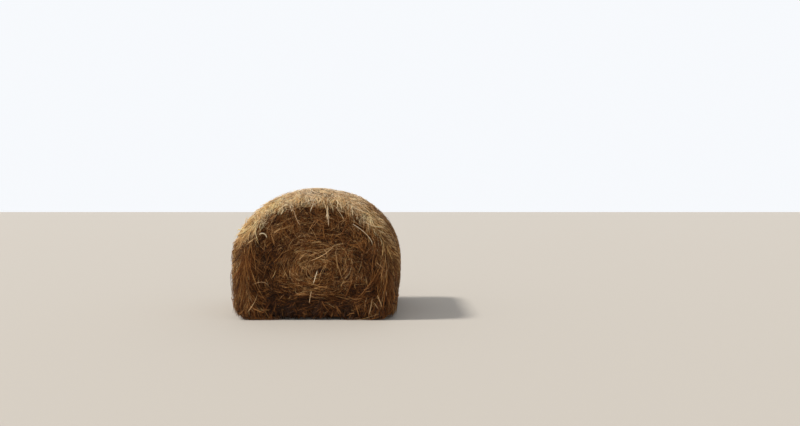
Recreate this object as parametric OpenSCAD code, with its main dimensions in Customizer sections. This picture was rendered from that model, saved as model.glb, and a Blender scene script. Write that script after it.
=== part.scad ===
// Round bale of hay, 5 x 6 ft class, settled on the ground after lying in the field.
// A mat of hay is rolled in a spiral round a loose core, and one twine is wound over it as a helix.
// The roll's axis is Y. The origin is on the ground under the middle of the roll, +Z is up.

/* [Roll] */
// Length of the roll along its axis
bale_len = 1560; // [1200:10:1800]
// Width of the settled roll at its belly
bale_wid = 2000; // [1500:10:2400]
// Height of the settled roll
bale_ht = 1540; // [1200:10:1900]
// Height of the belly, where the roll is widest
belly_ht = 620; // [480:10:760]
// How far the free outline would reach below the ground that flattens it
sink = 110; // [20:5:140]
// Squareness of the upper half: 2 is an ellipse
crown_power = 2; // [2:0.1:2.6]
// Squareness of the lower half: 2 is an ellipse
foot_power = 3.3; // [2:0.1:3.6]

/* [Rounded shoulders] */
// Length of the rounded shoulder along the axis
shoulder_len = 220; // [160:10:300]
// How far the outline draws in at the end faces
shoulder_drop = 200; // [80:10:260]

/* [Spiral mat] */
// Full turns of the mat under the outer turn
turn_count = 11; // [6:1:14]
// Width of the loose core at its belly
core_wid = 160; // [100:2:240]
// Height of the point that the turns close in on
core_ht = 530; // [400:10:620]
// Thickness of the tail end of the outer turn at the belly
tail_thick = 45; // [35:1:80]
// How far the seam between two turns lies behind the ridges on an end face
seam_dip = 20; // [8:1:40]
// How far the core lies behind the end faces
core_dip = 34; // [10:1:80]
// How much the ridges of the turns differ from each other on an end face
ridge_vary = 14; // [0:1:20]
// Clearance where the tail of a turn lies over its own start
tail_gap = 0.4; // [0.2:0.1:1]

/* [Twine] */
// Turns of twine round the roll
wrap_count = 10; // [6:1:10]
// Distance from an end face to the nearest turn of twine
wrap_margin = 130; // [120:5:180]
// Diameter of the twine
twine_dia = 5; // [3:0.5:8]
// Depth of the crease that the twine pulls into the hay
crease_depth = 30; // [18:1:40]
// Width of the crease
crease_wid = 56; // [40:2:70]
// Height of a band's crown over the edge of the crease
crown_ht = 8; // [0:1:16]
// Clearance between the twine and the hay
twine_gap = 0.5; // [0.5:0.1:1]

/* [Fringe] */
// Thickness of the loose hay that hangs from the belly
fringe_thick = 14; // [8:1:20]
// Clearance between the fringe and the roll
fringe_gap = 0.4; // [0.3:0.1:1]
// Height of the lowest tips of the fringe over the ground
fringe_tip_ht = 12; // [6:1:60]
// How much higher the shortest tips end
fringe_ragged = 110; // [20:5:140]

/* [Hidden] */
hay_colour = "tan";
end_colour = "peru";
twine_colour = "burlywood";

function two_digits(k) = str(k < 10 ? "0" : "", k);
TURNS = [for (k = [1:turn_count]) str("turn_", two_digits(k))];
WRAPS = [for (g = [1:wrap_count]) str("twine_wrap_", two_digits(g))];

// Stations go round the roll, from the middle of the underside up the right side, over and down.
STATIONS = 40;
STEP = 360 / STATIONS;
half_wid = bale_wid / 2;
half_len = bale_len / 2;

// A size of 1 is the outline of the roll, and smaller sizes are the turns inside it.
core_size = core_wid / bale_wid;
tail_size = tail_thick / half_wid;
turn_size = (1 - core_size - tail_size) / turn_count;
drop_size = shoulder_drop / half_wid;
START_SHARE = 0.06;
top_ht = bale_ht - belly_ht;
wrap_pitch = (bale_len - 2 * wrap_margin) / wrap_count;
// The rows of the shoulder end just short of the first crease.
shoulder_end = 0.98 * (wrap_margin - crease_wid / 2);

function power(v, e) = sign(v) * pow(abs(v), e);

// Point of station j on the outline of that size. The lower half is clipped by the ground,
// and the inner turns are rounder and less flattened than the outer ones.
function section(j, size) =
    let (
        t = j * STEP - 90,
        up = sin(t) >= 0,
        square = 2 + ((up ? crown_power : foot_power) - 2) * size,
        reach = up ? top_ht : belly_ht + sink * size,
        x = half_wid * power(cos(t), 2 / square),
        z = max(0, belly_ht + reach * power(sin(t), 2 / square))
    )
    [size * x, core_ht + size * (z - core_ht)];

// Outward direction of the roll at station j.
function outward(j) =
    let (d = section(j + 1, 1) - section(j - 1, 1))
    [d[1], -d[0]] / norm(d);

// 0 where the roll lies on the ground, 1 where its surface is free.
function free_at(j) = min(1, max(0, 2 * (1 + outward(j)[1])));

// Outer boundary of turn k, as a size, at share u of its way round.
function boundary(k, u) =
    k == 0 ? core_size
    : k == 1 ? core_size + turn_size * (START_SHARE + (1 - START_SHARE) * u)
    : core_size + turn_size * (k - 1 + u);

// The shoulder is a quarter ellipse: size at distance e behind the end face, and the other way round.
function size_at(e) = 1 - drop_size * (1 - sqrt(1 - pow(max(0, 1 - e / shoulder_len), 2)));
function setback(size) =
    1 - size >= drop_size ? 0
    : shoulder_len * (1 - sqrt(1 - pow(1 - (1 - size) / drop_size, 2)));

// The ridges rise and fall along the whole spiral, so neighbouring turns never stand equally proud.
function seam_y(size) = half_len - setback(size) - seam_dip;
function ridge_y(turns, size) = half_len - setback(size) - ridge_vary * (1 + sin(turns * 137)) / 2;

function at_y(p, y) = [p[0], y, p[1]];

// A loft through rings of the same number of points, with a cap at each end.
module loft(rings) {
    m = len(rings[0]);
    last = (len(rings) - 1) * m;
    sides = [for (a = [0:m:last - m], j = [0:m - 1])
        let (k = (j + 1) % m)
        each [[a + j, a + k, a + m + k], [a + j, a + m + k, a + m + j]]];
    caps = [[for (j = [m - 1:-1:0]) j], [for (j = [0:m - 1]) last + j]];
    polyhedron(points = [for (r = rings) each r], faces = concat(sides, caps), convexity = 6);
}

// The loose start of the roll.
module core() {
    color(end_colour)
        translate([0, half_len - core_dip, 0]) rotate([90, 0, 0])
            linear_extrude(height = bale_len - 2 * core_dip, convexity = 4)
                polygon([for (j = [0:STATIONS - 1]) section(j, core_size)]);
}

// Inner boundary of turn k at station j: its tail lies over its own start, not in it.
function inside(k, j) = j < STATIONS ? boundary(k - 1, j / STATIONS) : boundary(k, 0) + tail_gap / half_wid;

// One turn of the mat, from the seam under the core round to the next seam.
module turn(k) {
    rings = [for (j = [0:STATIONS])
        let (a = inside(k, j), b = boundary(k, j / STATIONS), m = (a + b) / 2)
        [
            at_y(section(j, a), -seam_y(a)),
            at_y(section(j, m), -ridge_y(k + j / STATIONS, m)),
            at_y(section(j, b), -seam_y(b)),
            at_y(section(j, b), seam_y(b)),
            at_y(section(j, m), ridge_y(k + j / STATIONS + 5.3, m)),
            at_y(section(j, a), seam_y(a))
        ]];
    color(k % 2 == 0 ? end_colour : hay_colour) loft(rings);
}

// Middle of crease g at share u of the way round: the creases are one helix.
function crease_y(g, u) = wrap_pitch * (g - (wrap_count - 1) / 2 + u - 0.5);
GROUND_SHARE = 0.4;
function crease_at(j) = crease_depth * (GROUND_SHARE + (1 - GROUND_SHARE) * free_at(j));

// Point on the skin of the outer turn at station j, at length y and moved out by off, never below the ground.
function skin(j, y, off) =
    let (p = section(j, size_at(half_len - abs(y))) + off * outward(j))
    [p[0], y, max(0, p[1])];

SHOULDER_STEPS = 3;
INNER = turn_count;

// Rows of the shoulder at one end, from the seam outward; side is -1 in front and 1 at the back.
function shoulder_row(j, i, side) =
    let (e0 = setback(boundary(INNER, j / STATIONS)) + seam_dip, e = e0 + (shoulder_end - e0) * i / SHOULDER_STEPS)
    skin(j, side * (half_len - e), -crown_ht * free_at(j) * i / SHOULDER_STEPS);

// Four rows to each crease: edge, bottom, edge and the crown of the next band.
CREASE_ROWS = 4;
function crease_row(j, h) =
    let (g = floor(h / CREASE_ROWS), part = h % CREASE_ROWS, y = crease_y(g, j / STATIONS))
    part == 0 ? skin(j, y - crease_wid / 2, -crown_ht * free_at(j))
    : part == 1 ? skin(j, y, -crease_at(j))
    : part == 2 ? skin(j, y + crease_wid / 2, -crown_ht * free_at(j))
    : skin(j, y + wrap_pitch / 2, 0);

// The last turn of the mat: a closed ring whose inside is the end of the spiral, with the helical crease outside.
module outer_turn() {
    helix = CREASE_ROWS * wrap_count - 1;
    rows = 2 * SHOULDER_STEPS + helix;
    last = STATIONS - 1;
    skin_points = [for (j = [0:last]) each concat(
        [for (i = [1:SHOULDER_STEPS]) shoulder_row(j, i, -1)],
        [for (h = [0:helix - 1]) crease_row(j, h)],
        [for (i = [SHOULDER_STEPS:-1:1]) shoulder_row(j, i, 1)]
    )];
    seam_points = [for (j = [0:STATIONS]) let (s = boundary(INNER, j / STATIONS)) each [
        at_y(section(j, s), -seam_y(s)), at_y(section(j, s), seam_y(s))
    ]];
    first_seam = STATIONS * rows;
    // Numbers of a skin row, and of the seam in front (0) or at the back (1), at a station.
    function on(j, r) = j * rows + r;
    function seam(j, back) = first_seam + 2 * j + back;
    top_row = rows - 1;
    lead = SHOULDER_STEPS;
    trail = SHOULDER_STEPS + helix;
    skin_faces = [for (j = [0:last - 1], r = [0:rows - 2]) [on(j, r), on(j, r + 1), on(j + 1, r + 1), on(j + 1, r)]];
    end_faces = [for (j = [0:last - 1]) each [
        [seam(j, 0), on(j, 0), on(j + 1, 0), seam(j + 1, 0)],
        [on(j, top_row), seam(j, 1), seam(j + 1, 1), on(j + 1, top_row)]
    ]];
    inner_faces = [for (j = [0:last]) [seam(j, 1), seam(j, 0), seam(j + 1, 0), seam(j + 1, 1)]];
    // From the last station to the first, each helical row runs on into the row one crease further back.
    closing_faces = concat(
        [for (r = [each [0:lead - 2], each [trail:top_row - 1]]) [on(last, r), on(last, r + 1), on(0, r + 1), on(0, r)]],
        [for (r = [lead:trail - 2 - CREASE_ROWS]) [
            on(last, r), on(last, r + 1), on(0, r + 1 + CREASE_ROWS), on(0, r + CREASE_ROWS)
        ]],
        [[on(last, lead - 1), on(last, lead), on(0, lead - 1)]],
        [for (r = [lead - 1:lead + CREASE_ROWS - 1]) [on(last, lead), on(0, r + 1), on(0, r)]],
        [for (r = [trail - 1 - CREASE_ROWS:trail - 1]) [on(last, r), on(last, r + 1), on(0, trail - 1)]],
        [[on(last, trail), on(0, trail), on(0, trail - 1)]]
    );
    step_faces = [
        [on(last, 0), on(0, 0), seam(0, 0)],
        [on(last, 0), seam(0, 0), seam(STATIONS, 0)],
        [on(last, 0), seam(STATIONS, 0), seam(last, 0)],
        [on(last, top_row), seam(0, 1), on(0, top_row)],
        [on(last, top_row), seam(STATIONS, 1), seam(0, 1)],
        [on(last, top_row), seam(last, 1), seam(STATIONS, 1)],
        [seam(STATIONS, 1), seam(STATIONS, 0), seam(0, 0), seam(0, 1)]
    ];
    color(hay_colour) polyhedron(
        points = concat(skin_points, seam_points),
        faces = concat(skin_faces, end_faces, inner_faces, closing_faces, step_faces),
        convexity = 10
    );
}

// One turn of the twine, lying in the bottom of its crease. The last turn ends where the crease runs out.
TWINE_SIDES = 6;
module twine_wrap(g) {
    rings = [for (j = [0:g == wrap_count - 1 ? STATIONS - 1 : STATIONS])
        let (
            deep = crease_at(j % STATIONS),
            lean = atan2(crease_wid / 2, deep - crown_ht * free_at(j)),
            seat = (twine_dia / 2 + twine_gap) / sin(lean),
            middle = skin(j % STATIONS, crease_y(g, j / STATIONS), seat - deep),
            n = outward(j)
        )
        [for (a = [0:TWINE_SIDES - 1])
            let (v = 360 * a / TWINE_SIDES)
            middle + twine_dia / 2 * [cos(v) * n[0], sin(v), cos(v) * n[1]]]];
    color(twine_colour) loft(rings);
}

// Loose hay: a sheet that lies on the belly over two stations, then hangs free down to a ragged edge.
// It spans the creases without dipping into them, so it stays clear of the twine.
FRINGE_STATION = 8;
function fringe_row(j, h) =
    h % CREASE_ROWS == 1 ? skin(j, crease_row(j, h)[1], -crown_ht * free_at(j)) : crease_row(j, h);
module fringe(side) {
    top = side > 0 ? FRINGE_STATION : STATIONS - FRINGE_STATION;
    bend = top - side;
    rings = [for (h = [0:CREASE_ROWS * wrap_count - 2])
        let (
            root = fringe_row(bend, h),
            ragged = abs(sin(h * 77 + side * 40)),
            sway = 0.4 * fringe_thick * sin(h * 131),
            tip = [root[0] - side * fringe_thick, root[1] + sway, fringe_tip_ht + fringe_ragged * ragged]
        )
        [
            fringe_row(top, h) + fringe_gap * at_y(outward(top), 0),
            root + fringe_gap * at_y(outward(bend), 0),
            tip,
            tip + [side * fringe_thick / 3, 0, 0],
            root + (fringe_gap + fringe_thick) * at_y(outward(bend), 0),
            fringe_row(top, h) + (fringe_gap + fringe_thick / 3) * at_y(outward(top), 0)
        ]];
    color(hay_colour) loft(side > 0 ? rings : [for (r = rings) [for (i = [len(r) - 1:-1:0]) r[i]]]);
}

core();
outer_turn();
for (k = [1:turn_count]) turn(k);
for (g = [1:wrap_count]) twine_wrap(g - 1);
fringe(-1);  // fringe_left
fringe(1);  // fringe_right
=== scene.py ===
"""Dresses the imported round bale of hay: spiral mats, stalks, thatch, fringes and twine."""
import math
from collections import namedtuple

import bpy
import numpy as np
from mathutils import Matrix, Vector


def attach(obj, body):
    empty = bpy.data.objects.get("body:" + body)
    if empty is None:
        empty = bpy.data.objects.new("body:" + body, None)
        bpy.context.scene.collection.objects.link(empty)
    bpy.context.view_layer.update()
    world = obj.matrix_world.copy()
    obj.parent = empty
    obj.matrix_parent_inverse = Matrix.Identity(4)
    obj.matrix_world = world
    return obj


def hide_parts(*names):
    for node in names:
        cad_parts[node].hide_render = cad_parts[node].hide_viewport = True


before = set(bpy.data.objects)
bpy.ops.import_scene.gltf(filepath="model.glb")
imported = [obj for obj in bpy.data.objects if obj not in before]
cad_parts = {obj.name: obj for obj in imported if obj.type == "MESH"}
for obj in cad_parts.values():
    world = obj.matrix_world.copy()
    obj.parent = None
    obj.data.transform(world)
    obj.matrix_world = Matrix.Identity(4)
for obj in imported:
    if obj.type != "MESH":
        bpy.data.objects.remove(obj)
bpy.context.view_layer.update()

# The roll, in metres, with the same names and values as the construction.
BALE_LEN = 1.56
BALE_WID = 2.0
BALE_HT = 1.54
BELLY_HT = 0.62
SINK = 0.11
CROWN_POWER = 2.0
FOOT_POWER = 3.3
SHOULDER_LEN = 0.22
SHOULDER_DROP = 0.2
TURN_COUNT = 11
CORE_WID = 0.16
CORE_HT = 0.53
TAIL_THICK = 0.045
SEAM_DIP = 0.02
RIDGE_VARY = 0.014
WRAP_COUNT = 10
WRAP_PITCH = 0.13
CREASE_DEPTH = 0.03
CREASE_WID = 0.056
CROWN_HT = 0.008
GROUND_SHARE = 0.4
START_SHARE = 0.06
STATIONS = 40

HALF_WID = BALE_WID / 2
HALF_LEN = BALE_LEN / 2
CORE_SIZE = CORE_WID / BALE_WID
TURN_SIZE = (1 - CORE_SIZE - TAIL_THICK / HALF_WID) / TURN_COUNT
DROP_SIZE = SHOULDER_DROP / HALF_WID
TOP_HT = BALE_HT - BELLY_HT

# Degrees from one turn's ridge on an end to the next one's, and turns by which the far end's are shifted.
RIDGE_ANGLE = 137
RIDGE_SHIFT = 5.2

# How far the mats lie behind the solids and may stand out from them, and how deep their seams are.
FACE_BACK = 0.006
FACE_OUT = 0.004
SEAM_SHARE = 0.75
GROOVE_SHARE = 0.33
CROWN_SHARE = 0.6
MAT_GAP = 0.002

# How far loose hay may reach from the origin: a little over the roll's own box. Stalks bend back softly.
ROOM = np.array([HALF_WID + 0.034, HALF_LEN + 0.03, BALE_HT + 0.03])
SOFT_EDGE = 0.03
SOFT_REACH = 0.026
GROUND_GAP = 0.0015

# Fields of soft waves, each as strength, wave length and seed: lumps in metres, patches in tone.
WAVE_COUNT = 18
FACE_LUMPS = ((0.009, 0.16, 5), (0.004, 0.06, 9))
SKIN_LUMPS = ((0.007, 0.22, 3), (0.005, 0.07, 4))
TONE_PATCHES = ((0.06, 0.4, 91),)
WARMTH_PATCHES = ((0.2, 0.3, 92),)
TURN_TONES = ((0.25, 0.05, 30),)
OUTER_TONES = ((0.3, 0.05, 31),)
CORE_TONES = ((0.3, 0.04, 77),)
MAT_TONE = 0.45

DOWN = np.array([0, 0, -1.0])


def rising(value, start, span):
    """0 up to start, and 1 from a span above it."""
    return np.clip((value - start) / span, 0, 1)


def falling(value, end, span):
    """1 up to a span below end, and 0 from end on."""
    return np.clip((end - value) / span, 0, 1)


# The outline and the skin of the roll
def section(u, size):
    """Point (x, z) at share u of the way round, from the underside, on the outline of that size."""
    t = (np.asarray(u) * 360 - 90) * math.pi / 180
    size = np.asarray(size)
    c = np.cos(t)
    q = np.sin(t)
    square = 2 + (np.where(q < 0, FOOT_POWER, CROWN_POWER) - 2) * size
    reach = np.where(q < 0, BELLY_HT + SINK * size, TOP_HT)
    x = HALF_WID * np.sign(c) * np.abs(c) ** (2 / square)
    z = np.maximum(0, BELLY_HT + reach * np.sign(q) * np.abs(q) ** (2 / square))
    return size * x, CORE_HT + size * (z - CORE_HT)


def outward(u, size=1.0):
    """Outward direction (x, z) of the roll at share u, or of the outline of that size."""
    h = 0.5 / STATIONS
    ax, az = section(u - h, size)
    bx, bz = section(u + h, size)
    dx = bz - az
    dz = ax - bx
    n = np.hypot(dx, dz) + 1e-12
    return dx / n, dz / n


def free_at(u):
    """0 where the roll lies on the ground, 1 where its surface is free."""
    return np.clip(2 * (1 + outward(u)[1]), 0, 1)


def size_at(depth):
    """Size of the outline at that depth behind the end plane."""
    return 1 - DROP_SIZE * (1 - np.sqrt(1 - np.clip(1 - depth / SHOULDER_LEN, 0, 1) ** 2))


def setback(size):
    """Depth behind the end plane at which the shoulder has that size."""
    share = np.clip(1 - (1 - size) / DROP_SIZE, 0, 1)
    return SHOULDER_LEN * (1 - np.sqrt(1 - share ** 2))


def turns_at(u, size):
    """Turns of the spiral, counted from the core, at that place of an end face."""
    return (size - CORE_SIZE) / TURN_SIZE - u


def seam_at(turns):
    """1 at the seam between two turns, 0 in the middle of a turn."""
    return np.abs(2 * (turns - np.floor(turns)) - 1) ** 1.5


def wobble(p, wave, seed):
    """A smooth field with waves of about that length, roughly -1 to 1, at points p."""
    r = np.random.default_rng(seed)
    k = r.normal(size=(WAVE_COUNT, 3))
    number = 2 * math.pi / wave * r.uniform(0.6, 1.5, (WAVE_COUNT, 1))
    k *= number / np.linalg.norm(k, axis=1, keepdims=True)
    phase = r.uniform(0, 2 * math.pi, WAVE_COUNT)
    total = np.zeros(p.shape[:-1])
    for i in range(WAVE_COUNT):
        total += np.cos(p @ k[i] + phase[i])
    return total / math.sqrt(WAVE_COUNT) * 0.8


def waves(p, fields, shift=0):
    """Sum of fields of soft waves at points p, with their seeds shifted."""
    return sum(strength * wobble(p, wave, seed + shift) for strength, wave, seed in fields)


def face_lumps(u, size, side):
    """Large and small lumps of an end face."""
    x, z = section(u, size)
    p = np.stack([x, np.full_like(x, 3.0 * side), z], -1)
    return waves(p, FACE_LUMPS, side)


def face_depth(u, size, side):
    """How far an end face lies behind the end plane: shoulder, seams, ridges and lumps."""
    turns = turns_at(u, size)
    seam = seam_at(turns)
    angle = (turns + u + RIDGE_SHIFT * (1 + side) / 2) * RIDGE_ANGLE
    ridge = RIDGE_VARY * (1 + np.sin(np.radians(angle))) / 2
    depth = setback(size) + SEAM_DIP * SEAM_SHARE * seam + ridge * (1 - seam)
    depth = depth + FACE_BACK + face_lumps(u, size, side)
    return np.maximum(depth, setback(size) - FACE_OUT)


def wraps_at(u, y):
    """Turns of twine between the near end and that place; the creases lie at whole numbers."""
    return y / WRAP_PITCH + (WRAP_COUNT - 1) / 2 + 0.5 - u


def from_crease(u, y):
    """Distance along y from the nearest crease, and whether the twine is wound there."""
    wraps = wraps_at(u, y)
    return (wraps - np.round(wraps)) * WRAP_PITCH, (wraps > -0.5) & (wraps < WRAP_COUNT - 0.5)


def in_band(u, y, clear):
    """Keeps each row of places in the band between two creases where it starts."""
    wraps = wraps_at(u, y)
    band = np.floor(wraps[:, :1])
    low = np.where(band < 0, -9, band + clear)
    high = np.where(band >= WRAP_COUNT - 1, 99, band + 1 - clear)
    return y + (np.clip(wraps, low, high) - wraps) * WRAP_PITCH


def crease_offset(u, y):
    """How far the skin lies under the full outline: crowns between the twine, and its creases."""
    along, inside = from_crease(u, y)
    free = free_at(u)
    depth = CREASE_DEPTH * (GROUND_SHARE + (1 - GROUND_SHARE) * free)
    groove = depth * np.exp(-(np.abs(along) / (CREASE_WID * GROOVE_SHARE)) ** 2)
    crown = CROWN_HT * free * (1 + np.cos(2 * math.pi * along / WRAP_PITCH)) / 2
    return np.where(inside, np.maximum(groove, crown * CROWN_SHARE), CROWN_HT * free * CROWN_SHARE)


def barrel(u, y, off):
    """Points on the rolled side at share u and length y, moved out by off."""
    x, z = section(u, size_at(HALF_LEN - np.abs(y)))
    nx, nz = outward(u)
    off = off - crease_offset(u, y)
    return np.stack([x + nx * off, y, np.maximum(MAT_GAP, z + nz * off)], -1)


def end_face(u, size, side, lift):
    """Points on an end face, side -1 in front and 1 at the back, moved out by lift."""
    x, z = section(u, size)
    y = side * (HALF_LEN - face_depth(u, size, side) + lift)
    return np.stack([x, y, np.maximum(MAT_GAP, z)], -1)


# The outline in small steps: for scattering stalks evenly and for finding the share of a point.
U_GRID = np.linspace(0, 1, 2001)
GRID_X, GRID_Z = section(U_GRID, 1.0)
ARC = np.concatenate([[0], np.cumsum(np.hypot(np.diff(GRID_X), np.diff(GRID_Z)))])
GIRTH = ARC[-1]
GRID_ANGLE = np.unwrap(np.arctan2(GRID_Z - CORE_HT, GRID_X))
GRID_REACH = np.hypot(GRID_X, GRID_Z - CORE_HT)

# Share of the outline's length at which it leaves the ground on the right.
LIFT_OFF = ARC[np.argmax(GRID_Z > 0.01)] / GIRTH

# The rounded shoulder in small steps from the end plane: distance along the skin and depth.
SHOULDER_DEPTH = SHOULDER_LEN * np.linspace(0, 1, 401) ** 2
SHOULDER_STEPS = np.hypot(np.diff(SHOULDER_DEPTH), HALF_WID * np.diff(size_at(SHOULDER_DEPTH)))
SHOULDER_SKIN = np.concatenate([[0], np.cumsum(SHOULDER_STEPS)])
SKIN_HALF = SHOULDER_SKIN[-1] + HALF_LEN - SHOULDER_LEN


def even_u(share):
    """Share u at that share of the outline's length."""
    return np.interp(share % 1.0, ARC / GIRTH, U_GRID)


def free_u(share):
    """Share u at that share of the part of the outline that isn't on the ground."""
    return even_u(LIFT_OFF + (1 - 2 * LIFT_OFF) * share)


def skin_y(along):
    """Length y of the place on the rolled side that lies that far from the middle, along its skin."""
    from_end = SKIN_HALF - np.abs(along)
    depth = np.interp(from_end, [*SHOULDER_SKIN, SKIN_HALF], [*SHOULDER_DEPTH, HALF_LEN])
    return np.sign(along) * (HALF_LEN - depth)


def place_of(x, z):
    """Share and size, to a good approximation, of the point (x, z) of an end face."""
    angle = np.arctan2(z - CORE_HT, x)
    angle = GRID_ANGLE[0] + (angle - GRID_ANGLE[0]) % (2 * math.pi)
    u = np.interp(angle, GRID_ANGLE, U_GRID)
    return u, np.hypot(x, z - CORE_HT) / np.interp(angle, GRID_ANGLE, GRID_REACH)


# Meshes
def mesh_object(name, points, faces):
    """A mesh object from an array of points and one of faces with the same number of corners."""
    mesh = bpy.data.meshes.new(name)
    faces = np.asarray(faces, np.int32)
    n, corners = faces.shape
    mesh.vertices.add(len(points))
    mesh.vertices.foreach_set("co", np.asarray(points, np.float32).ravel())
    mesh.loops.add(n * corners)
    mesh.loops.foreach_set("vertex_index", faces.ravel())
    mesh.polygons.add(n)
    mesh.polygons.foreach_set("loop_start", np.arange(0, n * corners, corners, dtype=np.int32))
    mesh.polygons.foreach_set("loop_total", np.full(n, corners, np.int32))
    mesh.polygons.foreach_set("use_smooth", np.full(n, True))
    mesh.update(calc_edges=True)
    mesh.validate()
    piece = bpy.data.objects.new(name, mesh)
    bpy.context.scene.collection.objects.link(piece)
    return piece


def set_values(piece, name, values):
    """Stores a value for each point of a piece, for its material."""
    attribute = piece.data.attributes.new(name, "FLOAT", "POINT")
    attribute.data.foreach_set("value", np.asarray(values, np.float32))


def set_hay(piece, points, tone, warmth):
    """Tone and warmth of the hay at each point; patches of it are fresher or more bleached."""
    set_values(piece, "tone", np.clip(tone + waves(points, TONE_PATCHES), 0, 1))
    set_values(piece, "warmth", np.clip(warmth + waves(points, WARMTH_PATCHES), 0, 1))


def finish_piece(piece, material, slot, *nodes):
    """Gives a piece its material and body, and hides the solids that it stands in for. The slot is not
    used.
    """
    piece.data.materials.append(material)
    if nodes:
        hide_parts(*nodes)
    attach(piece, "root")


def unit(vectors):
    """The same directions with a length of 1."""
    return vectors / (np.linalg.norm(vectors, axis=-1, keepdims=True) + 1e-9)


def draw_in(paths):
    """Bends back the points of stalks that would reach further out than the room for loose hay."""
    over = np.maximum(0, np.abs(paths) - ROOM + SOFT_EDGE)
    return np.sign(paths) * (np.abs(paths) - over + SOFT_REACH * np.tanh(over / SOFT_REACH))


def stalk_faces(points):
    """Triangles of one closed three-sided stalk with that many points along it."""
    tip = 1 + 3 * (points - 2)
    faces = []
    for k in range(3):
        j = (k + 1) % 3
        faces.append([0, 1 + j, 1 + k])
        for ring in range(1, tip - 3, 3):
            faces.append([ring + k, ring + j, ring + 3 + j])
            faces.append([ring + k, ring + 3 + j, ring + 3 + k])
        faces.append([tip - 3 + k, tip - 3 + j, tip])
    return np.array(faces)


def stalks(name, paths, normals, widths, tones, warmth):
    """One joined mesh of closed three-sided stalks that taper to a point at both ends.

    paths is (stalks, points, 3), normals the direction that each stalk's ridge faces.
    """
    count, points = paths.shape[:2]
    paths = draw_in(paths)
    tangent = np.gradient(paths, axis=1)
    across = unit(np.cross(tangent, normals))
    up = unit(np.cross(across, tangent))
    half = widths[:, None, None] / 2
    body = paths[:, 1:-1]
    a = across[:, 1:-1] * half
    b = up[:, 1:-1] * half
    rings = np.stack([body + a, body - a, body + b], 2).reshape(count, -1, 3)
    corners = np.concatenate([paths[:, :1], rings, paths[:, -1:]], 1)
    per_stalk = corners.shape[1]
    corners[..., 2] = np.maximum(corners[..., 2], GROUND_GAP)
    corners = np.clip(corners.reshape(-1, 3), -ROOM, ROOM)
    first = np.arange(count)[:, None, None] * per_stalk
    piece = mesh_object(name, corners, (first + stalk_faces(points)[None]).reshape(-1, 3))
    set_hay(piece, corners, np.repeat(tones, per_stalk), np.repeat(warmth, per_stalk))
    return piece


def hanging(r, start, out, heading, length, droop, curl, points, reach):
    """Paths of stalks that leave start along heading and bend down under their weight.

    out is the direction away from the hay, and reach how far a stalk stands off it at its tip.
    """
    count = len(start)
    steps = points - 1
    paths = np.zeros((count, points, 3))
    paths[:, 0] = start
    way = heading / np.linalg.norm(heading, axis=1, keepdims=True)
    side = np.cross(way, out)
    bend = r.normal(0, curl, count)[:, None]
    step = (length / steps)[:, None]
    droop = np.broadcast_to(droop, count)[:, None]
    reach = np.broadcast_to(reach, count)[:, None]
    for i in range(1, points):
        way = way + droop * DOWN / steps + side * bend / steps
        way /= np.linalg.norm(way, axis=1, keepdims=True)
        paths[:, i] = paths[:, i - 1] + way * step + out * (reach * (i / steps) / steps)
    return paths


# Materials
MIX_FIRST_COLOUR = 6
MIX_SECOND_COLOUR = 7
MIX_RESULT_COLOUR = 2
FIBRE_SPREAD = 0.5


def srgb(rgb):
    """Linear values of a colour that is written as it looks, 0 to 255."""
    return [((c / 255 + 0.055) / 1.055) ** 2.4 if c > 10.3 else c / 255 / 12.92 for c in rgb]


def stored(tree, name):
    """The value that each point of a piece carries under that name."""
    attribute = tree.nodes.new("ShaderNodeAttribute")
    attribute.attribute_name = name
    return attribute.outputs["Fac"]


def fibre_noise(tree, scale):
    """Fine noise that stays with the piece."""
    where = tree.nodes.new("ShaderNodeTexCoord")
    noise = tree.nodes.new("ShaderNodeTexNoise")
    noise.inputs["Scale"].default_value = scale
    noise.inputs["Detail"].default_value = 6
    noise.inputs["Roughness"].default_value = 0.65
    tree.links.new(where.outputs["Object"], noise.inputs["Vector"])
    return noise.outputs["Fac"]


def varied_tone(tree, noise):
    """The tone of the hay, a little up and down with the noise."""
    spread = tree.nodes.new("ShaderNodeMath")
    spread.operation = "MULTIPLY_ADD"
    spread.inputs[1].default_value = FIBRE_SPREAD
    spread.inputs[2].default_value = -FIBRE_SPREAD / 2
    tree.links.new(noise, spread.inputs[0])
    total = tree.nodes.new("ShaderNodeMath")
    total.operation = "ADD"
    total.use_clamp = True
    tree.links.new(spread.outputs[0], total.inputs[0])
    tree.links.new(stored(tree, "tone"), total.inputs[1])
    return total.outputs[0]


def colour_row(tree, colours, tone):
    """Picks by tone from a row of evenly spaced colours."""
    row = tree.nodes.new("ShaderNodeValToRGB")
    elements = row.color_ramp.elements
    last = len(colours) - 1
    for i, colour in enumerate(colours):
        if 0 < i < last:
            element = elements.new(i / last)
        else:
            element = elements[0 if i == 0 else -1]
        element.position = i / last
        element.color = (*srgb(colour), 1)
    tree.links.new(tone, row.inputs["Fac"])
    return row.outputs["Color"]


def fibre_bump(tree, noise, depth):
    """Fine relief of that depth along the noise."""
    bump = tree.nodes.new("ShaderNodeBump")
    bump.inputs["Strength"].default_value = 0.6
    bump.inputs["Distance"].default_value = depth
    tree.links.new(noise, bump.inputs["Height"])
    return bump.outputs["Normal"]


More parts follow.
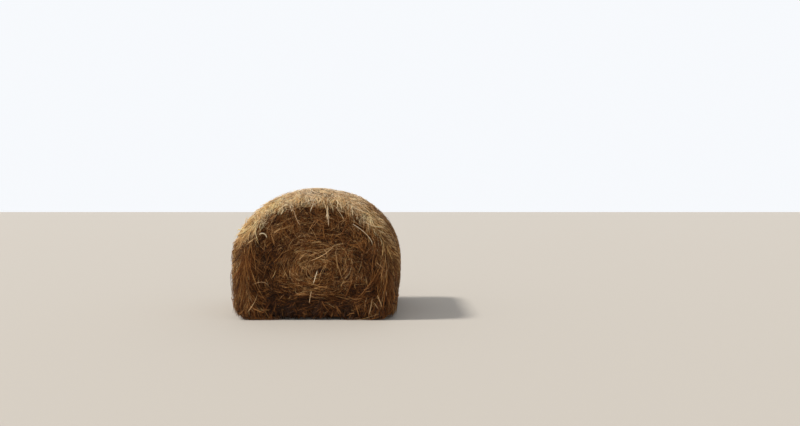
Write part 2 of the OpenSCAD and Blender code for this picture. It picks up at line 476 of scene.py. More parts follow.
def hay_material(name, pale, warm, fibre_scale, bump_depth):
    """Dry hay: tone picks a colour from a bleached and a fresher row, and warmth mixes the two."""
    material = bpy.data.materials.new(name)
    material.use_nodes = True
    tree = material.node_tree
    shader = tree.nodes["Principled BSDF"]
    shader.inputs["Roughness"].default_value = 0.68
    shader.inputs["Specular IOR Level"].default_value = 0.3
    noise = fibre_noise(tree, fibre_scale)
    tone = varied_tone(tree, noise)
    mix = tree.nodes.new("ShaderNodeMix")
    mix.data_type = "RGBA"
    tree.links.new(stored(tree, "warmth"), mix.inputs["Factor"])
    tree.links.new(colour_row(tree, pale, tone), mix.inputs[MIX_FIRST_COLOUR])
    tree.links.new(colour_row(tree, warm, tone), mix.inputs[MIX_SECOND_COLOUR])
    tree.links.new(mix.outputs[MIX_RESULT_COLOUR], shader.inputs["Base Color"])
    tree.links.new(fibre_bump(tree, noise, bump_depth), shader.inputs["Normal"])
    return material


WEATHERED = hay_material(
    "weathered_hay",
    [(120, 91, 60), (206, 173, 135), (244, 213, 176), (254, 235, 205)],
    [(103, 62, 22), (184, 135, 76), (243, 198, 130), (255, 234, 180)],
    90, 0.002,
)
UNDER = hay_material(
    "under_hay",
    [(52, 34, 18), (104, 76, 48), (174, 140, 100)],
    [(44, 24, 8), (88, 54, 24), (146, 102, 54)],
    60, 0.006,
)
END = hay_material(
    "end_hay",
    [(45, 24, 5), (126, 79, 35), (200, 152, 102), (248, 216, 172)],
    [(43, 19, 1), (121, 67, 14), (192, 132, 70), (244, 200, 138)],
    90, 0.002,
)
# The mats under the end stalks are painted very dark: painted shade in the deep gaps between the stalks.
END_UNDER = hay_material(
    "end_under_hay",
    [(26, 13, 4), (56, 33, 14), (92, 60, 32)],
    [(24, 10, 1), (54, 28, 8), (88, 52, 20)],
    60, 0.006,
)
TWINE = hay_material(
    "twisted_twine",
    [(186, 154, 108), (214, 184, 134), (236, 212, 164)],
    [(180, 142, 90), (210, 174, 118), (232, 202, 148)],
    400, 0.002,
)


# The mats: the solids' own forms with soft ridges and lumps
TURN_ROWS = 9
CORE_COUNT = 60
CORE_ROWS = (0.25, 0.6, 0.9, 1.02)
CORE_BACK = 0.012
OUTER_COUNT = 260
SHOULDER_ROWS = 8
SKIN_ROWS = 104
SKIN_START = 0.02
OUTER_LIFT = 0.001
OUTER_EDGE = 0.985
TAIL_START = 0.97


def grid_quads(rows, row_len, close_rows, close_row):
    """Quads between the points of a grid, closed in a ring either way where asked."""
    i, j = np.meshgrid(
        np.arange(rows if close_rows else rows - 1),
        np.arange(row_len if close_row else row_len - 1),
        indexing="ij",
    )
    i2 = (i + 1) % rows
    j2 = (j + 1) % row_len
    quads = [i * row_len + j, i * row_len + j2, i2 * row_len + j2, i2 * row_len + j]
    return np.stack(quads, -1).reshape(-1, 4)


def turn_boundary(k, u):
    """Size at which turn k ends, at share u."""
    if k == 0:
        return np.full_like(u, CORE_SIZE)
    if k == 1:
        return CORE_SIZE + TURN_SIZE * (START_SHARE + (1 - START_SHARE) * u)
    return CORE_SIZE + TURN_SIZE * (k - 1 + u)


def cap_quads(first, ring, flip):
    """Quads that close one cut end of a turn, whose ring of points starts at that number."""
    caps = []
    for q in range(TURN_ROWS - 1):
        cap = [first + q, first + q + 1, first + ring - 2 - q, first + ring - 1 - q]
        caps.append(cap if flip else cap[::-1])
    return caps


def turn_mat(k):
    """One turn of the rolled mat: a spiral loft with soft ridges and lumps on both ends."""
    count = 36 + 13 * k
    u = np.linspace(0, 1, count + 1)
    inner = turn_boundary(k - 1, u)
    outer = turn_boundary(k, u)
    size = inner + (outer - inner) * np.linspace(0, 1, TURN_ROWS)[:, None]
    uu = np.broadcast_to(u, size.shape)
    profile = np.concatenate([end_face(uu, size, -1, 0.0), end_face(uu, size, 1, 0.0)[::-1]], 0)
    ring = len(profile)
    points = profile.transpose(1, 0, 2).reshape(-1, 3)
    caps = cap_quads(0, ring, True) + cap_quads(count * ring, ring, False)
    quads = np.concatenate([grid_quads(count + 1, ring, False, True), np.array(caps)])
    piece = mesh_object(f"turn_mat_{k:02d}", points, quads)
    tone = MAT_TONE + waves(points, TURN_TONES, k) + 0.1 * math.sin(k * 2.3)
    set_hay(piece, points, tone, 0.7)
    finish_piece(piece, END_UNDER, "end_hay", f"turn_{k:02d}")


def core_plug():
    """The loose start of the roll: a ragged plug of hay set back at both ends."""
    count = CORE_COUNT
    u = np.arange(count) / count
    rows = []
    for side in (-1, 1):
        block = [end_face(u, np.full_like(u, CORE_SIZE * s), side, -CORE_BACK) for s in CORE_ROWS]
        rows += block if side < 0 else block[::-1]
    ring = len(rows)
    grid = np.stack(rows, 1)
    quads = grid_quads(count, ring, True, False)
    middles = np.array([[0, grid[:, 0, 1].mean(), CORE_HT], [0, grid[:, -1, 1].mean(), CORE_HT]])
    points = np.concatenate([grid.reshape(-1, 3), middles])
    near = np.arange(count) * ring
    near_next = np.roll(near, -1)
    front = np.stack([np.full(count, count * ring), near_next, near], -1)
    back = np.stack([np.full(count, count * ring + 1), near + ring - 1, near_next + ring - 1], -1)
    faces = np.concatenate([quads[:, [0, 1, 2]], quads[:, [0, 2, 3]], front, back])
    piece = mesh_object("core_plug", points, faces)
    set_hay(piece, points, MAT_TONE + waves(points, CORE_TONES), 0.8)
    finish_piece(piece, END_UNDER, "end_hay", "core")


def outer_rows(u, side):
    """Rows of points of the outer mat on an end, from the turn under it to the shoulder."""
    inner = CORE_SIZE + TURN_SIZE * (TURN_COUNT - 1 + u)
    back = TURN_SIZE * (u - TAIL_START) / (1 - TAIL_START)
    inner = np.where(u > TAIL_START, inner - back, inner)
    size = inner + (OUTER_EDGE - inner) * np.linspace(0, 1, SHOULDER_ROWS)[:, None]
    rows = end_face(np.broadcast_to(u, size.shape), size, side, OUTER_LIFT)
    return rows if side < 0 else rows[::-1]


def outer_skin(u):
    """Rows of points of the outer mat on the rolled side, with twine creases and lumps."""
    half = HALF_LEN - setback(OUTER_EDGE) - SKIN_START
    y = np.linspace(-half, half, SKIN_ROWS)[:, None]
    yy = np.broadcast_to(y, (SKIN_ROWS, len(u)))
    uu = np.broadcast_to(u, yy.shape)
    lumps = waves(barrel(uu, yy, 0.0), SKIN_LUMPS)
    return barrel(uu, yy, lumps - FACE_BACK)


def outer_mat():
    """The last turn of the mat: the rolled skin and both rounded shoulders."""
    u = np.arange(OUTER_COUNT) / OUTER_COUNT
    profile = np.concatenate([outer_rows(u, -1), outer_skin(u), outer_rows(u, 1)], 0)
    points = profile.transpose(1, 0, 2).reshape(-1, 3)
    piece = mesh_object("outer_mat", points, grid_quads(OUTER_COUNT, len(profile), True, True))
    set_hay(piece, points, MAT_TONE + waves(points, OUTER_TONES), 0.5)
    finish_piece(piece, UNDER, "weathered_hay", "outer_turn")


core_plug()
for k in range(1, TURN_COUNT + 1):
    turn_mat(k)
outer_mat()


# Loose hay: what every kind of stalk shares
# Turned and curl are angles, lift and tip_lift how far a stalk and its tip stand off the surface.
Layer = namedtuple("Layer", "name count per_lock width length turned curl lift tip_lift tone points")
ENDS = ((-1, "near"), (1, "far"))

BLEACH_POWER = 2.2
WIDTH_SPREAD = 0.42
THINNEST = 0.002


def bleached(z):
    """How bleached hay is at height z: rain and sun fade the top most."""
    return np.clip(z / BALE_HT, 0, 1) ** BLEACH_POWER


def locks(count, per_lock):
    """Number of the lock that each stalk belongs to."""
    return np.arange(count) // per_lock


def by_lock(r, lock, low=0, high=1):
    """An evenly spread random value for each stalk, the same all through its lock."""
    return r.uniform(low, high, lock[-1] + 1)[lock]


def shared(r, lock, spread, own):
    """A random value for each stalk: mostly that of its lock, and a little of its own."""
    common = r.normal(0, spread, lock[-1] + 1)
    return common[lock] + r.normal(0, own, len(lock))


def stalk_widths(r, middle, count):
    """Many fine stems and a few broad leaves."""
    return np.clip(middle * np.exp(r.normal(0, WIDTH_SPREAD, count)), THINNEST, 2 * middle)


def facing(side, count):
    """Direction out of an end, once for each stalk."""
    out = np.zeros((count, 3))
    out[:, 1] = side
    return out


def ridges(out, paths):
    """The same direction for the ridge of a stalk at each of its points."""
    return np.broadcast_to(out[:, None], paths.shape)


# Stalks on the rolled side, which is in the sun where u is over a half
SIDE_LAYERS = (
    Layer("rolled_side_hay", 18500, 4, 0.0050, 0.17, 0.22, 0.5, 0.009, 0.012, 0.40, 3),
    Layer("rolled_side_tufts", 16200, 3, 0.0054, 0.12, 0.60, 1.2, 0.014, 0.034, 0.58, 4),
    Layer("rolled_side_long_stalks", 420, 1, 0.0055, 0.34, 0.30, 0.6, 0.020, 0.024, 0.80, 6),
)

# Share of the locks that stay between two creases, and how clear of them, as a share of the pitch.
BANDED_SHARE = 0.88
BAND_CLEAR = 0.13

# Heights and tones of the side's painted light and shade: painted shade in the creases, painted
# highlights on the rims, a painted shade band on the shady side and a painted highlight on its crest.
CREASE_SHADE = 0.22
CREASE_SHADE_WID = 0.024
RIM_LEN = 0.2
DARK_BAND_TOP = 1.38
DARK_BAND_FOOT = 0.8
DARK_BAND_TONE = 0.32
PALE_CREST_FOOT = 1.18
PALE_CREST_TONE = 0.16
SUNNY_RIDGE_FOOT = 1.42


def side_faded_and_lit(u, bleach):
    """How faded the rolled side is, with painted light: the sunny part paler, partly from bleaching and
    partly as painted sunlight, and the shady part darker as painted shade.
    """
    return bleach ** np.where(u > 0.5, 0.8, 1.9)


def side_places(r, layer, lock):
    """Shares and lengths y of the points of stalks on the rolled side, and how bleached they are."""
    within = SKIN_HALF - 0.01
    u = free_u(by_lock(r, lock)) + r.normal(0, 0.02, layer.count) / GIRTH
    along = by_lock(r, lock, -within, within) + r.normal(0, 0.011, layer.count)
    bleach = bleached(barrel(u, skin_y(along), 0.0)[:, 2])
    heading = shared(r, lock, layer.turned, 0.2) * (0.7 + side_faded_and_lit(u, bleach))
    heading += math.pi * (by_lock(r, lock) < 0.5)
    turn = shared(r, lock, layer.curl, 0.4)
    step = layer.length * np.exp(shared(r, lock, 0.35, 0.2)) / (layer.points - 1)
    path_u = [u]
    path_along = [along]
    for share in np.linspace(0, 1, layer.points)[1:]:
        angle = heading + turn * share
        path_u.append(path_u[-1] + np.cos(angle) * step / GIRTH)
        path_along.append(path_along[-1] + np.sin(angle) * step)
    path_u = np.stack(path_u, 1)
    path_y = skin_y(np.clip(np.stack(path_along, 1), -SKIN_HALF, SKIN_HALF))
    banded = by_lock(r, lock) < BANDED_SHARE
    path_y = np.where(banded[:, None], in_band(path_u, path_y, BAND_CLEAR), path_y)
    return path_u, np.clip(path_y, -HALF_LEN, HALF_LEN), bleach


def side_colours(r, layer, lock, u, y, height, bleach):
    """Tone and warmth of stalks that start at share u, length y and that height on the rolled side."""
    sunny = u > 0.5
    faded_and_lit = side_faded_and_lit(u, bleach)
    from_end = HALF_LEN - np.abs(y)
    along, inside = from_crease(u, y)
    # Painted shade along the twine creases.
    shade = CREASE_SHADE * inside * np.exp(-(along / CREASE_SHADE_WID) ** 2)
    # Painted highlight: the hay near each end is painted paler, most on the sunny side, where the loose
    # hay of the rim catches the light.
    rim = np.clip(1 - from_end / RIM_LEN, 0, 1) * faded_and_lit ** np.where(sunny, 1.4, 1.5)
    weather_and_light = layer.tone * (0.35 + 0.65 * faded_and_lit) - 0.12 + 0.28 * faded_and_lit + (0.08 + 0.34 * sunny) * rim
    # Painted shade: a darker band on the shady side, behind the rim and between these heights; a painted
    # highlight on the shady side near the end, above the crest height.
    behind = rising(from_end, 0.03, 0.07)
    band = falling(height, DARK_BAND_TOP, 0.08) * rising(height, DARK_BAND_FOOT, 0.2)
    crest = rising(height, PALE_CREST_FOOT, 0.08)
    weather_and_light -= np.where(sunny, 0, DARK_BAND_TONE) * behind * band
    weather_and_light += np.where(sunny, 0, PALE_CREST_TONE) * (1 - behind) * crest
    # The sunny side below its ridge may be painted paler than the rest: painted sunlight.
    palest = np.where(sunny & (height < SUNNY_RIDGE_FOOT), 0.96, 0.84)
    tones = np.minimum(weather_and_light, palest) - shade + shared(r, lock, 0.05, 0.38)
    # The rims are painted less warm, the shady one most, together with their painted highlight.
    warmth = 1.02 - 0.76 * bleach ** 2 - np.where(sunny, 0.08, 0.2) * rim
    warmth = warmth + shared(r, lock, 0.12, 0.1)
    return np.clip(tones, 0, 1), np.clip(warmth, 0, 1)


def side_stalks(layer, seed):
    """Locks of stalks that lie on the rolled side, mostly round it, with tips that stand off a little."""
    r = np.random.default_rng(seed)
    lock = locks(layer.count, layer.per_lock)
    path_u, path_y, bleach = side_places(r, layer, lock)
    share = np.linspace(0, 1, layer.points)
    base = layer.lift * r.uniform(-0.3, 1, layer.count)
    rise = 0.5 * by_lock(r, lock) ** 2 + 0.9 * r.uniform(0, 1, layer.count) ** 6
    rise = layer.tip_lift * rise
    paths = barrel(path_u, path_y, base[:, None] + rise[:, None] * share ** 2)
    nx, nz = outward(path_u)
    normals = np.stack([nx, np.zeros_like(nx), nz], -1)
    height = paths[:, 0, 2]
    tones, warmth = side_colours(r, layer, lock, path_u[:, 0], path_y[:, 0], height, bleach)
    widths = stalk_widths(r, layer.width, layer.count)
    piece = stalks(layer.name, paths, normals, widths, tones, warmth)
    finish_piece(piece, WEATHERED, "weathered_hay")


# Stalks on the ends
END_LAYERS = (
    Layer("end_hay", 16500, 3, 0.0042, 0.20, 0.09, 0.3, 0.015, 0.012, 0.30, 3),
    Layer("end_tangle", 4400, 1, 0.0036, 0.17, 0.34, 0.9, 0.028, 0.018, 0.40, 4),
    Layer("end_long_stalks", 260, 1, 0.0038, 0.24, 0.34, 0.5, 0.036, 0.02, 0.56, 6),
)

# The swirl of an end: half its width and height, and the place of its middle, the dark eye.
SWIRL_WID = 0.49
SWIRL_HT = 0.31
SWIRL_X = 0.06
SWIRL_Z = 0.585
SWIRL_TONE = 0.30
EYE_EDGE = 0.176
EYE_SOFT = 0.11
EYE_TONE = 0.30

# The tangle starts under this height, and the sunny rim is left to the thatch from this size.
TANGLE_TOP = 0.42
SUNNY_EDGE = 0.87

# Hay on an end is paler with height, by this much from the ground to the top.
HEIGHT_TONE = 0.6
MIDDLE_HEIGHT = 0.65


def swirl_reach(x, z):
    """Distance from the middle of the swirl, 1 at its edge."""
    return np.hypot((x - SWIRL_X) / SWIRL_WID, (z - SWIRL_Z) / SWIRL_HT)


def swirl_tilt(u, size):
    """Angle from the outline of that size to the swirl's ring through the same place."""
    x, z = section(u, size)
    nx, nz = outward(u, size)
    ring_x = -(z - SWIRL_Z) / SWIRL_HT ** 2
    ring_z = (x - SWIRL_X) / SWIRL_WID ** 2
    return np.arctan2(ring_x * nx + ring_z * nz, ring_z * nx - ring_x * nz)


def end_starts(r, count, lock):
    """Share and size at which the stalks of an end start, and the size at which their locks lie."""
    u = even_u(by_lock(r, lock))
    edge = np.interp(np.abs(u - 0.5), (0.18, 0.3), (0.85, 0.985))
    edge = np.where(u > 0.5, np.minimum(edge, SUNNY_EDGE), edge)
    lock_size = edge * np.sqrt(by_lock(r, lock))
    size = lock_size + r.normal(0, 0.016, count)
    u = u + r.normal(0, 0.02, count) / (GIRTH * (lock_size + 0.1))
    return u, size, lock_size


def end_places(r, layer, lock, u, size, lock_size):
    """Shares and sizes of the points of stalks that start at share u and that size of an end.

    They lie along the spiral far out and along the swirl further in, and are in a tangle low down.
    """
    x, z = section(u, size)
    reach = swirl_reach(x, z)
    swirl = falling(reach, 1.15, 0.25)
    combed = falling(reach, 1.7, 0.5)
    low = falling(z, TANGLE_TOP, 0.24) * (1 - swirl)
    heading = shared(r, lock, layer.turned, 0.10) * (1 - 0.4 * swirl + 6 * low)
    heading += combed * swirl_tilt(u, size) + math.pi * (by_lock(r, lock) < 0.5)
    turn = shared(r, lock, layer.curl, 0.2) * (1 + low)
    length = layer.length * np.exp(shared(r, lock, 0.35, 0.2)) * (0.35 + 0.65 * lock_size)
    step = length / (layer.points - 1) * (1 - 0.35 * low)
    path_u = [u]
    path_size = [size]
    for share in np.linspace(0, 1, layer.points)[1:]:
        angle = heading + turn * share
        girth = GIRTH * np.maximum(path_size[-1], 0.05)
        path_u.append(path_u[-1] + np.cos(angle) * step / girth)
        path_size.append(path_size[-1] + np.sin(angle) * step / 0.85)
    return np.stack(path_u, 1), np.clip(np.stack(path_size, 1), 0.01, 0.99)


def end_colours(r, layer, lock, u, size, lock_size, height):
    """Tone and warmth of stalks that start at share u and that size of an end, at that height."""
    reach = swirl_reach(*section(u, size))
    turns = turns_at(u, lock_size)
    # The seams between turns are painted darker: painted shade in their grooves.
    band = 0.10 * np.sin(turns * 2.1) - 0.12 * seam_at(turns)
    band += SWIRL_TONE * falling(reach, 1.15, 0.25) + 0.12 * (1 - lock_size) ** 1.6
    band -= EYE_TONE * falling(reach, EYE_EDGE, EYE_SOFT)
    height = np.clip(height / BALE_HT, 0, 1)
    tones = layer.tone + band + HEIGHT_TONE * (height - MIDDLE_HEIGHT) + shared(r, lock, 0.03, 0.32)
    warmth = 0.9 + 0.1 * (1 - lock_size) + shared(r, lock, 0.15, 0.1)
    return np.clip(tones, 0, 1), np.clip(warmth, 0, 1)


def end_stalks(layer, side, end, seed):
    """Locks of stalks that lie on an end of the roll, mostly along the spiral."""
    r = np.random.default_rng(seed)
    lock = locks(layer.count, layer.per_lock)
    u, size, lock_size = end_starts(r, layer.count, lock)
    path_u, path_size = end_places(r, layer, lock, u, size, lock_size)
    share = np.linspace(0, 1, layer.points)
    base = 0.7 * by_lock(r, lock, -0.3, 1) + 0.3 * r.uniform(-0.3, 1, layer.count)
    base = layer.lift * base
    rise = layer.tip_lift * r.uniform(0, 1, layer.count) ** 2
    paths = end_face(path_u, path_size, side, base[:, None] + rise[:, None] * share ** 2)
    normals = ridges(facing(side, layer.count), paths)
    tones, warmth = end_colours(r, layer, lock, u, size, lock_size, paths[:, 0, 2])
    widths = stalk_widths(r, layer.width, layer.count)
    piece = stalks(f"{end}_{layer.name}", paths, normals, widths, tones, warmth)
    finish_piece(piece, END, "end_hay")


# What hangs on the rims, in front of the ends and from the belly
THATCH_COUNT = 3600
THATCH_SHARE = 0.22
THATCH_BACK = 0.17
THATCH_LEN = 0.085
HANGER_COUNT = 1300
HANGER_STAND = 0.016
HANGER_LEN = 0.13
CURTAIN_SHARE = 0.4
FOOT_COUNT = 1300
FOOT_HALF_WID = 0.9
FRINGE_COUNT = 2800
FRINGE_LEN = 0.24


def keep_within(paths, most):
    """Draws in the points that would stick out over the outline of the roll."""
    u, size = place_of(paths[..., 0], paths[..., 2])
    share = np.minimum(1, most / np.maximum(size, 0.1))
    paths[..., 0] *= share
    paths[..., 2] = CORE_HT + (paths[..., 2] - CORE_HT) * share
    return paths


def rest_on_end(paths, side, stand):
    """Moves paths out so that they stay in front of an end face."""
    u, size = place_of(paths[..., 0], paths[..., 2])
    face = HALF_LEN - face_depth(u, np.clip(size, 0, 0.99), side) + stand
    paths[..., 1] = side * np.maximum(face, side * paths[..., 1])
    return paths


def thatch(side, end):
    """Locks of the rolled side that droop over the rim of an end."""
    r = np.random.default_rng(80 + side)
    count = THATCH_COUNT
    lock = locks(count, 8)
    u = 0.5 + THATCH_SHARE * by_lock(r, lock, -1, 1) + r.normal(0, 0.003, count)
    from_top = np.abs(u - 0.5) / THATCH_SHARE
    sunny = u > 0.5
    back = THATCH_BACK * by_lock(r, lock) ** 1.3 * np.where(sunny, 1, 1 - 0.7 * from_top)
    start_y = side * (HALF_LEN - 0.02 - back + r.normal(0, 0.012, count))
    start = barrel(u, start_y, 0.004 + 0.008 * r.uniform(0, 1, count))
    nx, nz = outward(u)
    along = np.sign(0.5 - u) * np.where(sunny, 2.4, 3.2) * from_top + shared(r, lock, 0.9, 0.3)
    heading = np.stack([nz * along, side * (1 - 0.6 * from_top), -nx * along - 0.35], -1)
    length = THATCH_LEN * np.exp(shared(r, lock, 0.4, 0.25))
    length = length * (0.85 + 0.9 * from_top) * (1 - 0.4 * sunny)
    droop = np.abs(shared(r, lock, 1.0, 0.4) + 1.6) * (1 - 0.4 * sunny)
    droop = droop * (1 - np.where(sunny, 0.4, 0.85) * from_top)
    out = facing(side, count)
    paths = hanging(r, start, out, heading, length, droop, curl=1.1, points=4, reach=0)
    paths = keep_within(paths, 1.012)
    # Painted light: the thatch is painted paler on the sunny side, painted sunlight, and painted darker
    # further down both sides, painted shade; it is painted warmer towards the sides, the sunny one most.
    tones = 0.74 + np.where(sunny, 0.75, 0.12) * from_top - np.where(sunny, 1.55, 1.05) * from_top ** 3
    tones = np.clip(tones + np.where(sunny, 0.8, 1.3) * shared(r, lock, 0.14, 0.2), 0, 1)
    warmth = np.clip(0.42 + (0.5 + 0.3 * sunny) * from_top + shared(r, lock, 0.15, 0.1), 0, 1)
    widths = stalk_widths(r, 0.0044, count)
    piece = stalks(f"{end}_rim_thatch", paths, ridges(out, paths), widths, tones, warmth)
    finish_piece(piece, WEATHERED, "weathered_hay")


def hanger_starts(r, count, lock):
    """Share and size at which loose stalks hang on an end, and which are part of a curtain beside it."""
    under_rim = by_lock(r, lock) < 0.5
    size = np.where(under_rim, by_lock(r, lock, 0.7, 0.9), np.sqrt(by_lock(r, lock, 0.02, 0.8)))
    u = free_u(by_lock(r, lock, 0.1, 0.9))
    curtain = by_lock(r, lock) < CURTAIN_SHARE
    size = np.where(curtain, by_lock(r, lock, 0.84, 0.97), size)
    beside = 0.21 + 0.12 * by_lock(r, lock)
    left = by_lock(r, lock) < 0.5
    u = np.where(curtain, np.where(left, 1 - beside, beside), u)
    size = np.where(curtain & left, size - 0.08, size)
    return u + r.normal(0, 0.003, count), size, curtain


def face_hangers(side, end):
    """Loose stalks that hang down in front of an end, most of them from under the rim."""
    r = np.random.default_rng(90 + side)
    count = HANGER_COUNT
    lock = locks(count, 2)
    u, size, curtain = hanger_starts(r, count, lock)
    start = end_face(u, size, side, HANGER_STAND)
    lean = shared(r, lock, 0.45, 0.1) * (1 - 0.6 * curtain)
    heading = np.stack([np.sin(lean), np.full(count, side * 0.12), -np.cos(lean)], -1)
    length = HANGER_LEN * np.exp(shared(r, lock, 0.4, 0.2)) * (1 + 1.4 * curtain)
    out = facing(side, count)
    paths = hanging(r, start, out, heading, length, droop=0.6, curl=0.8, points=5, reach=0.01)
    paths = keep_within(rest_on_end(paths, side, HANGER_STAND), 0.98)
    tones = np.clip(0.36 + shared(r, lock, 0.12, 0.18), 0, 1)
    warmth = np.clip(0.7 + 0.15 * curtain + shared(r, lock, 0.15, 0.1), 0, 1)
    widths = stalk_widths(r, 0.0038, count)
    piece = stalks(f"{end}_hanging_stalks", paths, ridges(out, paths), widths, tones, warmth)
    finish_piece(piece, END, "end_hay")


def foot_hay(side, end):
    """Ragged hay between the lower rim of an end and the ground."""
    r = np.random.default_rng(110 + side)
    count = FOOT_COUNT
    lock = locks(count, 5)
    x = FOOT_HALF_WID * np.sin(by_lock(r, lock, -1.5, 1.5)) + r.normal(0, 0.012, count)
    corner = np.clip(np.abs(x) * 2 - 0.9, 0, 1)
    z = 0.05 + (0.2 + 0.15 * corner) * by_lock(r, lock) ** 1.5 + r.normal(0, 0.01, count)
    u, size = place_of(x, z)
    start = end_face(u, np.clip(size, 0, 0.97), side, 0.006)
    lean = shared(r, lock, 0.6, 0.15) * (1 - 0.4 * corner)
    splay = np.maximum(0.05, shared(r, lock, 0.3, 0.1))
    heading = np.stack([np.sin(lean), side * splay, -np.cos(lean)], -1)
    length = (z + 0.02 + 0.06 * splay) * np.exp(shared(r, lock, 0.3, 0.2))
    length = length * (0.55 + 0.6 * np.abs(x) ** 2)
    out = facing(side, count)
    paths = hanging(r, start, out, heading, length, droop=0.4, curl=1.2, points=5, reach=0.01)
    paths = keep_within(paths, 1.02)
    # The foot hay is painted dark, darkest in the middle under the lower rim: painted shade; it is paler
    # towards the corners.
    tones = np.clip(0.12 + 0.28 * corner + shared(r, lock, 0.10, 0.25), 0, 1)
    warmth = np.clip(0.75 + shared(r, lock, 0.15, 0.1), 0, 1)
    widths = stalk_widths(r, 0.0050, count)
    piece = stalks(f"{end}_foot_hay", paths, ridges(out, paths), widths, tones, warmth)
    finish_piece(piece, END, "end_hay")


def fringe(side, name, node):
    """Loose hay that hangs from the belly to a ragged edge just over the ground."""
    r = np.random.default_rng(100 + side)
    count = FRINGE_COUNT
    lock = locks(count, 7)
    u = 0.17 + 0.12 * by_lock(r, lock) ** 1.7 + r.normal(0, 0.003, count)
    u = u if side > 0 else 1 - u
    within = HALF_LEN - 0.05
    y = by_lock(r, lock, -within, within) + r.normal(0, 0.01, count)
    start = barrel(u, y, 0.008 * r.uniform(0, 1, count))
    out = np.zeros((count, 3))
    out[:, 0] = side
    lean = shared(r, lock, 0.35, 0.12)
    heading = np.stack([np.full(count, -0.12 * side), np.sin(lean), -np.cos(lean)], -1)
    length = np.minimum(FRINGE_LEN * np.exp(shared(r, lock, 0.3, 0.15)), start[:, 2] - 0.004)
    length = np.maximum(length, 0.05)
    reach = 0.02 * r.uniform(-1, 1, count)
    paths = hanging(r, start, out, heading, length, droop=0.3, curl=0.6, points=4, reach=reach)
    tones = np.clip(0.08 + shared(r, lock, 0.15, 0.15), 0, 1)
    warmth = np.clip(0.9 + shared(r, lock, 0.12, 0.1), 0, 1)
    widths = stalk_widths(r, 0.0050, count)
    piece = stalks(name, paths, ridges(out, paths), widths, tones, warmth)
    finish_piece(piece, WEATHERED, "weathered_hay", node)


# Pale stalks that stand out on the near end: width, tone and places (x, z). The first is a broad leaf.
NEAR_LOOSE_STALKS = (
    (0.013, 1.00, ((-0.645, 1.000), (-0.620, 1.020), (-0.585, 1.022), (-0.561, 1.000), (-0.552, 0.965))),
    (0.008, 0.85, ((0.165, 1.350), (0.171, 1.226), (0.180, 1.098))),
    (0.006, 0.85, ((0.262, 1.335), (0.311, 1.262), (0.362, 1.180))),
    (0.0065, 0.95, ((0.455, 1.127), (0.499, 1.115), (0.581, 1.039), (0.663, 0.969), (0.692, 0.875))),
    (0.008, 0.95, ((0.046, 0.590), (0.020, 0.506), (-0.006, 0.425))),
    (0.006, 0.62, ((-0.024, 0.352), (-0.040, 0.278), (-0.055, 0.192))),
    (0.006, 0.30, ((-0.736, 0.411), (-0.605, 0.450), (-0.526, 0.398))),
    (0.007, 0.55, ((-0.234, 1.302), (-0.200, 1.200), (-0.151, 1.109))),
    (0.008, 0.55, ((0.744, 0.300), (0.800, 0.163), (0.835, 0.012))),
    (0.007, 0.45, ((0.700, 0.215), (0.762, 0.120), (0.780, 0.012))),
    (0.006, 0.35, ((0.690, 0.270), (0.668, 0.140), (0.630, 0.012))),
    (0.006, 0.40, ((0.850, 0.360), (0.862, 0.220), (0.885, 0.060))),
)
LOOSE_POINTS = 8
LOOSE_STAND = 0.055
LEAF_STAND = 0.016
SEED_COUNT = 26
SEED_X = 0.165
SEED_TOP = 1.36


def smooth_path(places, points):
    """Evenly spaced points on a smooth line through the places."""
    places = np.array(places)
    at = np.linspace(0, 1, len(places))
    powers = np.polynomial.polynomial.polyfit(at, places, min(3, len(places) - 1))
    return np.polynomial.polynomial.polyval(np.linspace(0, 1, points), powers).T


def loose_stalks(name, side, list_of_stalks):
    """The stalks that catch the eye on an end, and the seed head that hangs among them."""
    r = np.random.default_rng(7)
    lines = [smooth_path(places, LOOSE_POINTS) for width, tone, places in list_of_stalks]
    widths = [width for width, tone, places in list_of_stalks]
    tones = [tone for width, tone, places in list_of_stalks]
    share = np.linspace(0, 1, LOOSE_POINTS)[:, None]
    for i in range(SEED_COUNT):
        top = np.array([SEED_X, SEED_TOP - 0.1 * r.uniform()])
        spread = np.array([r.normal(0, 0.012), -0.06 - 0.03 * r.uniform()])
        lines.append(top + spread * share ** 0.8)
        widths.append(0.006)
        tones.append(0.85 + 0.1 * r.normal())
    count = len(lines)
    flat = np.array(lines)
    paths = np.stack([flat[..., 0], np.zeros(flat.shape[:2]), flat[..., 1]], -1)
    paths = rest_on_end(paths, side, LOOSE_STAND)
    paths[0, :, 1] = side * (HALF_LEN + LEAF_STAND)
    normals = ridges(facing(side, count), paths)
    tones = np.clip(np.array(tones), 0, 1)
    piece = stalks(name, paths, normals, np.array(widths), tones, np.full(count, 0.35))
    finish_piece(piece, WEATHERED, "weathered_hay")


for seed, layer in enumerate(SIDE_LAYERS):
    side_stalks(layer, 40 + seed)
for side, end in ENDS:
    for seed, layer in enumerate(END_LAYERS):
        end_stalks(layer, side, end, 60 + 10 * side + seed)
loose_stalks("near_loose_stalks", -1, NEAR_LOOSE_STALKS)
for side, end in ENDS:
    thatch(side, end)
    face_hangers(side, end)
    foot_hay(side, end)
fringe(-1, "left_fringe", "fringe_left")
fringe(1, "right_fringe", "fringe_right")

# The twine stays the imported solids, with a look of its own.
for node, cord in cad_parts.items():
    if node.startswith("twine_wrap"):
        cord.data.materials.clear()
        cord.data.materials.append(TWINE)


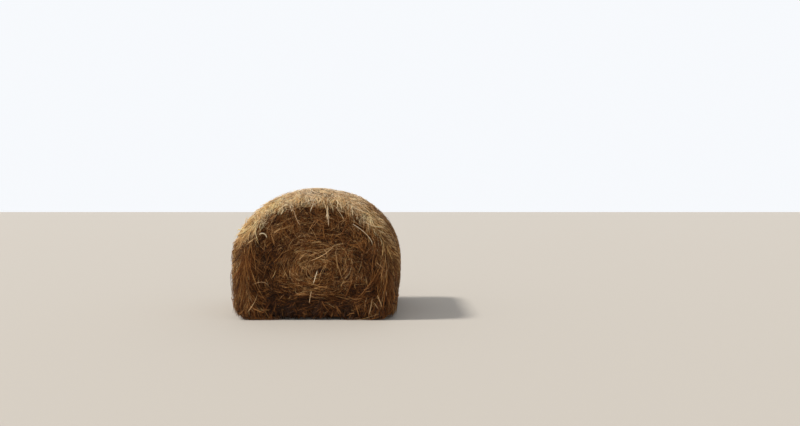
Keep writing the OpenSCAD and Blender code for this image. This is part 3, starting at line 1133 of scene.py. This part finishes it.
# Floor, camera and lights
FLOOR_SIZE = 60.0
FLOOR_COLOUR = (0.56, 0.525, 0.475, 1)
PICTURE_WID_PX = 800
FOCAL_PX = 601
SENSOR_WID_MM = 36
CAMERA_PLACE = (1.014, -7.84, 1.42)
CAMERA_DOWN = 1.29
SUN_WAY = (0.67, 0.06, -0.74)
SUN_COLOUR = (1.0, 0.95, 0.88)
SUN_STRENGTH = 2.8
SUN_WID = 8
SKY_LIGHT = ((0.96, 0.96, 0.97, 1), 0.53)
SKY_SEEN = ((0.93, 0.95, 0.98, 1), 1.0)


def add_floor():
    """A large pale floor, which is only there for the picture."""
    corners = [(-1, -1), (1, -1), (1, 1), (-1, 1)]
    points = [(x * FLOOR_SIZE, y * FLOOR_SIZE, 0) for x, y in corners]
    floor_mesh = mesh_object("floor", points, [[0, 1, 2, 3]])
    material = bpy.data.materials.new("pale_floor")
    material.use_nodes = True
    shader = material.node_tree.nodes["Principled BSDF"]
    shader.inputs["Base Color"].default_value = FLOOR_COLOUR
    shader.inputs["Roughness"].default_value = 0.9
    floor_mesh.data.materials.append(material)


def add_camera():
    """A camera at eye height that looks nearly along the roll."""
    camera_data = bpy.data.cameras.new("camera")
    camera_data.sensor_width = SENSOR_WID_MM
    camera_data.lens = SENSOR_WID_MM * FOCAL_PX / PICTURE_WID_PX
    camera_data.clip_end = 300
    camera = bpy.data.objects.new("camera", camera_data)
    camera.location = CAMERA_PLACE
    camera.rotation_euler = (math.radians(90 - CAMERA_DOWN), 0, 0)
    bpy.context.scene.collection.objects.link(camera)
    bpy.context.scene.camera = camera


def add_sun():
    """A soft sun from the upper left."""
    sun_data = bpy.data.lights.new("sun", "SUN")
    sun_data.energy = SUN_STRENGTH
    sun_data.angle = math.radians(SUN_WID)
    sun_data.color = SUN_COLOUR
    sun = bpy.data.objects.new("sun", sun_data)
    sun.rotation_euler = Vector(SUN_WAY).to_track_quat("-Z", "Y").to_euler()
    bpy.context.scene.collection.objects.link(sun)


def sky_side(background, colour, strength):
    """Sets one of the two skies and gives its output."""
    background.inputs["Color"].default_value = colour
    background.inputs["Strength"].default_value = strength
    return background.outputs[0]


def larger_of(tree, first, second):
    """The larger of two values."""
    larger = tree.nodes.new("ShaderNodeMath")
    larger.operation = "MAXIMUM"
    tree.links.new(first, larger.inputs[0])
    tree.links.new(second, larger.inputs[1])
    return larger.outputs[0]


def add_sky():
    """A sky that lights the scene less brightly than it looks."""
    world = bpy.data.worlds.new("world")
    bpy.context.scene.world = world
    world.use_nodes = True
    tree = world.node_tree
    light = sky_side(tree.nodes["Background"], *SKY_LIGHT)
    seen = sky_side(tree.nodes.new("ShaderNodeBackground"), *SKY_SEEN)
    path = tree.nodes.new("ShaderNodeLightPath").outputs
    direct = larger_of(tree, path["Is Camera Ray"], path["Is Glossy Ray"])
    blend = tree.nodes.new("ShaderNodeMixShader")
    tree.links.new(larger_of(tree, direct, path["Is Transmission Ray"]), blend.inputs["Fac"])
    tree.links.new(light, blend.inputs[1])
    tree.links.new(seen, blend.inputs[2])
    tree.links.new(blend.outputs[0], tree.nodes["World Output"].inputs["Surface"])


add_floor()
add_camera()
add_sun()
add_sky()
bpy.context.scene.view_settings.view_transform = "Standard"
